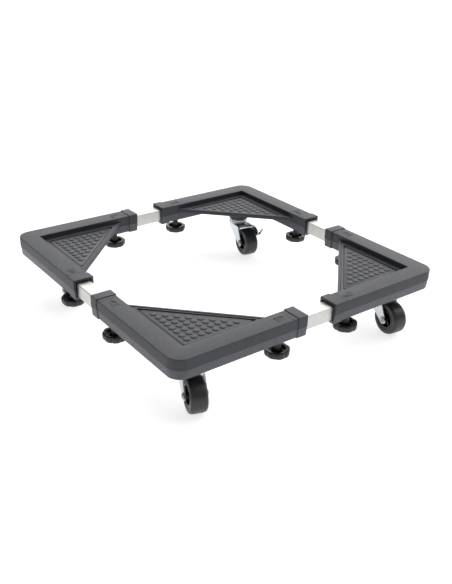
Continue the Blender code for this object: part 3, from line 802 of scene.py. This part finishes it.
def fork_mesh(braked):
    """Pressed sheet: a U channel cut to the legs' side view and to the crown's plan."""
    outside = channel_outline(FORK_OUTER, CROWN_TOP, 15.0, 2.6)
    inside = channel_outline(FORK_OUTER - FORK_SHEET, CROWN_TOP - FORK_SHEET, 10.0, 1.2)
    crown = arc((0.0, 0.0), CROWN_RADIUS, 24.0, 156.0, 18)
    crown += [(-FORK_OUTER, -5.0), (-FORK_OUTER - 2.0, -50.0)]
    crown += [(FORK_OUTER + 2.0, -50.0), (FORK_OUTER, -5.0)]
    rim = RACE_RADIUS - 2.5
    race = [(0.0, CROWN_TOP - 1.0), (rim, CROWN_TOP - 1.0), (rim, CROWN_TOP + 0.6)]
    race += [(RACE_RADIUS - 3.2, RACE_TOP - 0.3), (RACE_RADIUS - 4.0, RACE_TOP), (0.0, RACE_TOP)]
    lip = channel_outline(FORK_OUTER - 0.05, CROWN_TOP - 0.05, 30.0, 2.6)
    arch = channel_outline(FORK_OUTER - FORK_SHEET, CROWN_TOP - 4.0, 25.0, 5.0)
    front = -CROWN_FRONT - 0.35
    steps = [
        ("UNION", front_prism(outside, -60.0, 25.0)),
        ("DIFFERENCE", front_prism(inside, -61.0, 26.0)),
        ("INTERSECT", side_prism(leg_outline(), -20.0, 20.0)),
        ("INTERSECT", prism(crown, 10.0, 60.0)),
    ]
    plate = [
        ("UNION", front_prism(lip, front, front + FORK_SHEET)),
        ("DIFFERENCE", front_prism(arch, front - 3.0, front + 6.0)),
    ]
    lip_mesh = carved(plate)
    lip_body = bmesh.new()
    lip_body.from_mesh(lip_mesh)
    bmesh.ops.scale(lip_body, vec=(1.0 / MM,) * 3, verts=lip_body.verts[:])
    bore_radius = AXLE_RADIUS + RUNNING_GAP
    bore_profile = [(0.0, -22.0), (bore_radius, -22.0), (bore_radius, 22.0), (0.0, 22.0)]
    bore = moved(lathe(bore_profile, 20, "X"), (0.0, -TRAIL, WHEEL_RADIUS))
    steps += [
        ("UNION", lathe(race, 40)),
        ("UNION", lip_body),
        ("DIFFERENCE", bore),
        ("DIFFERENCE", prism(circle(PIN_RADIUS + RUNNING_GAP, 24), CROWN_TOP - 6.0, RACE_TOP + 4.0)),
    ]
    if braked:
        rivet_hole = circle(RIVET_RADIUS + RUNNING_GAP, 16, BRAKE_PIVOT)
        steps.append(("DIFFERENCE", side_prism(rivet_hole, 8.0, 24.0)))
    return carved(steps)


def axle_mesh():
    """Axle rivet: flanged head with a ring groove and a dimple on each side."""
    face = FORK_OUTER + RUNNING_GAP
    side = [
        (0.0, face + 1.2),
        (1.3, face + 1.3),
        (1.9, face + 2.0),
        (3.0, face + 1.8),
        (3.3, face + 0.8),
        (3.9, face + 0.7),
        (4.2, face + 1.0),
        (5.0, face + 0.7),
        (5.0, face),
        (AXLE_RADIUS, face),
    ]
    return body_from(lathe(mirrored(side), 28, "X"), "axle")


def hub_mesh():
    """Wheel centre: boss, dished web with ribs, and the rim that carries the tyre."""
    half = WHEEL_HALF - 1.0
    side = [
        (AXLE_RADIUS + RUNNING_GAP, FORK_OUTER - FORK_SHEET - 0.4),
        (4.9, FORK_OUTER - FORK_SHEET - 0.4),
        (5.5, FORK_OUTER - FORK_SHEET - 0.9),
        (6.2, 6.0),
        (7.2, 4.2),
        (12.0, 4.0),
        (13.1, 5.0),
        (13.6, half - 0.5),
        (14.1, half),
        (HUB_RADIUS, half),
    ]
    steps = [("UNION", lathe(mirrored(side), 40, "X"))]
    for i in range(5):
        turn = Matrix.Rotation(math.radians(72.0 * i), 3, "X")
        rib = block((-8.2, -0.9, 4.5), (8.2, 0.9, 14.5))
        bmesh.ops.rotate(rib, matrix=turn, verts=rib.verts[:])
        steps.append(("UNION", rib))
    return carved(steps)


def tyre_mesh():
    """Tyre with a bead by the hub, a rounded shoulder and a fine line beside the tread."""
    side = [
        (HUB_RADIUS + 0.3, WHEEL_HALF - 1.2),
        (HUB_RADIUS + 0.6, WHEEL_HALF - 0.5),
        (HUB_RADIUS + 1.2, WHEEL_HALF - 0.3),
        (HUB_RADIUS + 1.8, WHEEL_HALF - 0.6),
        (HUB_RADIUS + 2.4, WHEEL_HALF - 0.35),
        (WHEEL_RADIUS - 3.8, WHEEL_HALF),
        (WHEEL_RADIUS - 2.7, WHEEL_HALF - 0.15),
        (WHEEL_RADIUS - 1.7, WHEEL_HALF - 0.75),
        (WHEEL_RADIUS - 1.1, WHEEL_HALF - 1.5),
        (WHEEL_RADIUS - 0.85, WHEEL_HALF - 2.2),
        (WHEEL_RADIUS - 0.55, WHEEL_HALF - 2.5),
        (WHEEL_RADIUS - 0.25, WHEEL_HALF - 3.6),
        (WHEEL_RADIUS - 0.05, WHEEL_HALF - 6.0),
        (WHEEL_RADIUS, WHEEL_HALF - 9.0),
    ]
    return body_from(lathe(mirrored(side), 72, "X"), "tyre")


def pivot_in_fork(name):
    """(y, z) of the brake's rivet in its fork's frame, from the joints."""
    swivel = Vector(JOINTS[name + "_caster_swivel"]["pos_m"])
    pivot = Vector(JOINTS[name + "_brake_press"]["pos_m"])
    reach = math.hypot(pivot.x - swivel.x, pivot.y - swivel.y) / MM
    return (-reach, pivot.z / MM)


BRAKE_PIVOT = pivot_in_fork("back")


def lever_mesh():
    """Brake lever: side plate, shoe over the tyre and a pedal that curves up to a point."""
    inner = FORK_OUTER + RUNNING_GAP
    outer = inner + LEVER_SHEET
    pivot_y, pivot_z = BRAKE_PIVOT
    toe = [(-9.0, 6.6), (-15.5, 6.45), (-18.5, 6.0), (-21.5, 4.9), (-24.5, 3.2), (-27.4, 0.4)]
    toe += [(-28.8, -2.6), (-29.0, -6.0), (-28.2, -7.6), (-26.5, -8.3), (-22.5, -8.4), (-12.0, -5.0)]
    plate = arc(BRAKE_PIVOT, 5.0, -80.0, 80.0, 10)
    plate += [(pivot_y + y, pivot_z + z) for y, z in toe]
    low = pivot_z + 5.6
    shoe_end = (inner + LEVER_SHEET / 2.0, pivot_y - 9.5, low + LEVER_SHEET)
    shoe = block((4.0, pivot_y - 15.5, low), shoe_end)
    under = [(16.9, -8.0), (20.5, -7.6), (23.2, -6.2), (25.5, -4.2), (27.6, -1.2), (29.5, 2.6)]
    over = [(28.4, 3.4), (26.4, -0.4), (24.4, -3.1), (22.4, -5.0), (20.0, -6.2), (16.9, -6.5)]
    rings = []
    for y, narrow in ((-28.5, 0.25), (-28.2, 0.0), (-22.3, 0.0), (-22.0, 0.25)):
        strip = [(x, z + narrow) for x, z in under] + [(x, z - narrow) for x, z in over]
        rings.append([(x, pivot_y + y, pivot_z + z) for x, z in strip])
    rivet_hole = circle(RIVET_RADIUS + RUNNING_GAP, 16, BRAKE_PIVOT)
    pivot = side_prism(rivet_hole, inner - 3.0, outer + 3.0)
    steps = [("UNION", side_prism(plate, inner, outer)), ("UNION", shoe), ("UNION", loft(rings))]
    steps.append(("DIFFERENCE", pivot))
    return carved(steps)


def rivet_mesh():
    """Brake pin with a rounded head on each side of the sheets."""
    inner = FORK_OUTER - FORK_SHEET - RUNNING_GAP
    outer = FORK_OUTER + 2.2
    profile = [(0.0, inner - 0.6), (2.6, inner - 0.6), (3.2, inner)]
    profile += [(RIVET_RADIUS, inner), (RIVET_RADIUS, outer)]
    profile += [(3.2, outer), (3.0, outer + 0.6), (2.2, outer + 1.1), (0.0, outer + 1.2)]
    return body_from(moved(lathe(profile, 20, "X"), (0.0, *BRAKE_PIVOT)), "rivet")


def turned(mesh, matrix):
    """Copy of a mesh with its placing in its points, so its box follows the world's axes."""
    copy = mesh.copy()
    copy.transform(matrix)
    return copy


def swivel_matrix(name):
    """The fork's frame: swivel axis as origin at floor height, X along the wheel's axle."""
    axis = Vector(JOINTS[name + "_wheel_spin"]["axis"])
    swivel = Vector(JOINTS[name + "_caster_swivel"]["pos_m"])
    angle = math.atan2(axis.y, axis.x)
    return Matrix.Translation((swivel.x, swivel.y, 0.0)) @ Matrix.Rotation(angle, 4, "Z")


def build_casters():
    forks = {True: fork_mesh(True), False: fork_mesh(False)}
    stem, axle, hub, tyre = stem_mesh(), axle_mesh(), hub_mesh(), tyre_mesh()
    lever, rivet = lever_mesh(), rivet_mesh()
    wheel = Matrix.Translation((0.0, -TRAIL * MM, WHEEL_RADIUS * MM))
    still = Matrix()
    for name in QUARTER_TURNS:
        at = swivel_matrix(name)
        cad = name + "_caster_"
        swivel, spin = name + "_swivel", name + "_wheel"
        fork = turned(forks[name in BRAKED], at)
        piece(cad + "race_and_stem", turned(stem, at), still, name, ZINC, [cad + "stem"])
        piece(cad + "pressed_fork", fork, still, swivel, ZINC, [cad + "fork"], 28.0)
        rod, centre, ring = (turned(mesh, at @ wheel) for mesh in (axle, hub, tyre))
        piece(cad + "axle_rivet", rod, still, swivel, DARK_STEEL, [cad + "axle"])
        piece(cad + "wheel_centre", centre, still, spin, HUB, [cad + "hub"])
        piece(cad + "moulded_tyre", ring, still, spin, TYRE, [cad + "tyre"])
        if name in BRAKED:
            pedal, pin = turned(lever, at), turned(rivet, at)
            lever_cad, rivet_cad = [cad + "brake_lever"], [cad + "brake_rivet"]
            piece(cad + "brake_pedal", pedal, still, name + "_brake", ZINC, lever_cad)
            piece(cad + "brake_pin", pin, still, swivel, DARK_STEEL, rivet_cad)


# ---------------------------------------------------------------- screw feet


def lobed(radius, z, depth, steps):
    """Ring with rounded lobes and narrow V valleys between them."""
    ring = []
    for i in range(steps):
        angle = 2.0 * math.pi * i / steps
        swell = abs(math.sin(KNOB_LOBES * angle / 2.0)) ** 0.55
        reach = radius * (1.0 - depth + depth * swell)
        ring.append((reach * math.cos(angle), reach * math.sin(angle), z))
    return ring


def ribbed(radius, z, height, steps):
    """Ring with narrow raised ribs, for the neck."""
    ring = []
    for i in range(steps):
        angle = 2.0 * math.pi * i / steps
        swell = max(0.0, math.cos(KNOB_LOBES * angle)) ** 6
        reach = radius + height * swell
        ring.append((reach * math.cos(angle), reach * math.sin(angle), z))
    return ring


def knob_mesh():
    """Scalloped dish with a ribbed tapering neck, bored for the stud."""
    steps = KNOB_LOBES * 16
    depth = LOBE_DEPTH
    bore = STUD_RADIUS + RUNNING_GAP
    rings = [
        lobed(KNOB_RADIUS - 3.2, KNOB_BOTTOM, depth * 0.5, steps),
        lobed(KNOB_RADIUS - 2.0, KNOB_BOTTOM + 0.25, depth * 0.8, steps),
        lobed(KNOB_RADIUS - 0.9, KNOB_BOTTOM + 1.2, depth, steps),
        lobed(KNOB_RADIUS - 0.25, KNOB_BOTTOM + 3.0, depth, steps),
        lobed(KNOB_RADIUS, KNOB_BOTTOM + 5.5, depth, steps),
        lobed(KNOB_RADIUS, KNOB_TOP - 1.1, depth, steps),
        lobed(KNOB_RADIUS - 0.3, KNOB_TOP - 0.4, depth, steps),
        lobed(KNOB_RADIUS - 1.0, KNOB_TOP, depth, steps),
    ]
    inside = [(13.6, KNOB_TOP), (13.0, KNOB_TOP - 0.3), (12.7, KNOB_TOP - 1.0)]
    inside.append((12.2, KNOB_BOTTOM + 4.6))
    for radius, z in inside:
        rings.append([(x, y, z) for x, y in circle(radius, steps)])
    rings.append([(x, y, KNOB_BOTTOM + 4.0) for x, y in circle(11.4, steps)])
    for share in (0.0, 0.08, 0.2, 0.5, 0.85, 1.0):
        z = KNOB_BOTTOM + 4.2 + (NECK_TOP - 0.4 - KNOB_BOTTOM - 4.2) * share
        radius = 4.1 + 3.3 * (1.0 - share) ** 1.2
        rings.append(ribbed(radius, z, 1.0 * (1.0 - share), steps))
    for radius, z in ((4.0, NECK_TOP), (bore, NECK_TOP), (bore, STUD_BOTTOM - 0.3)):
        rings.append([(x, y, z) for x, y in circle(radius, steps)])
    return body_from(loft(rings), "knob")


def stud_mesh():
    """Threaded stud with a chamfered end."""
    profile = [(0.0, STUD_BOTTOM), (STUD_RADIUS - 0.6, STUD_BOTTOM)]
    turns = int((STUD_TOP - STUD_BOTTOM - 1.0) / THREAD_PITCH)
    for i in range(turns):
        z = STUD_BOTTOM + 0.4 + i * THREAD_PITCH
        profile += [(STUD_RADIUS, z), (STUD_RADIUS - 0.55, z + THREAD_PITCH / 2.0)]
    profile += [(STUD_RADIUS - 0.9, STUD_TOP), (0.0, STUD_TOP)]
    return body_from(lathe(profile, 20), "stud")


def build_feet():
    knob, stud = knob_mesh(), stud_mesh()
    for name in QUARTER_TURNS:
        for number in (1, 2):
            foot = f"{name}_foot_{number}"
            axis = Vector(JOINTS[foot + "_turn"]["pos_m"])
            at = Matrix.Translation((axis.x, axis.y, 0.0))
            piece(foot + "_dial", knob, at, foot + "_hand", KNOB, [foot + "_knob"], 40.0)
            piece(foot + "_thread", stud, at, foot, ZINC, [foot + "_stud"], 20.0)
            nut = frame["nodes"][foot + "_nut"]
            nut.data.materials.clear()
            nut.data.materials.append(DARK_STEEL)


# ---------------------------------------------------------------- studio

FLOOR_REACH = 30.0         # metres
FLOOR_GLOW = 0.72
KEY_FROM = (0.95, 0.45, 0.95)
KEY_SPREAD = 105.0         # degrees
KEY_STRENGTH = 3.6
WORLD_STRENGTH = 0.28


def build_floor():
    """Pale floor, lit from below like a light table, that runs out to the horizon."""
    bm = bmesh.new()
    bmesh.ops.create_grid(bm, x_segments=1, y_segments=1, size=FLOOR_REACH)
    mesh = bpy.data.meshes.new("floor")
    bm.to_mesh(mesh)
    bm.free()
    floor = bpy.data.objects.new("floor", mesh)
    bpy.context.scene.collection.objects.link(floor)
    material = bpy.data.materials.new("pale_floor")
    material.use_nodes = True
    shader = material.node_tree.nodes["Principled BSDF"]
    shader.inputs["Base Color"].default_value = (0.55, 0.55, 0.55, 1.0)
    shader.inputs["Roughness"].default_value = 0.9
    shader.inputs["Emission Color"].default_value = (1.0, 1.0, 1.0, 1.0)
    shader.inputs["Emission Strength"].default_value = FLOOR_GLOW
    mesh.materials.append(material)


def add_light(name, place, size, power):
    """Square soft box aimed at the middle of the base."""
    light = bpy.data.lights.new(name, "AREA")
    light.shape = "RECTANGLE"
    light.size, light.size_y = size
    light.energy = power
    item = bpy.data.objects.new(name, light)
    bpy.context.scene.collection.objects.link(item)
    item.location = place
    aim = Vector((0.0, 0.0, 0.08)) - Vector(place)
    item.rotation_euler = aim.to_track_quat("-Z", "Y").to_euler()


def build_lights():
    """White surroundings, a broad soft key from behind on the right and a soft box on the left."""
    world = bpy.data.worlds.new("studio")
    world.use_nodes = True
    world.node_tree.nodes["Background"].inputs["Color"].default_value = (1.0, 1.0, 1.0, 1.0)
    world.node_tree.nodes["Background"].inputs["Strength"].default_value = WORLD_STRENGTH
    bpy.context.scene.world = world
    key = bpy.data.lights.new("soft_key", "SUN")
    key.angle = math.radians(KEY_SPREAD)
    key.energy = KEY_STRENGTH
    item = bpy.data.objects.new("soft_key", key)
    bpy.context.scene.collection.objects.link(item)
    item.rotation_euler = (-Vector(KEY_FROM)).to_track_quat("-Z", "Y").to_euler()
    add_light("left_softbox", (-2.2, 0.1, 1.1), (1.4, 1.2), 4.0)


CAMERA_AT = (-0.66218, -0.88779, 0.59273)
CAMERA_YAW = 37.450
CAMERA_PITCH = 26.977
CAMERA_ROLL = 1.675
CAMERA_LENS = 45.509


def build_camera():
    """Camera at the height and bearing of a person's view of the base on the floor."""
    data = bpy.data.cameras.new("camera")
    data.lens = CAMERA_LENS
    data.sensor_width = 36.0
    camera = bpy.data.objects.new("camera", data)
    bpy.context.scene.collection.objects.link(camera)
    yaw = Matrix.Rotation(math.radians(-CAMERA_YAW), 4, "Z")
    pitch = Matrix.Rotation(math.radians(90.0 - CAMERA_PITCH), 4, "X")
    roll = Matrix.Rotation(math.radians(CAMERA_ROLL), 4, "Z")
    camera.matrix_world = Matrix.Translation(CAMERA_AT) @ yaw @ pitch @ roll
    bpy.context.scene.camera = camera


build_corners()
build_tubes()
build_casters()
build_feet()
build_floor()
build_lights()
build_camera()
bpy.context.scene.view_settings.view_transform = "Standard"
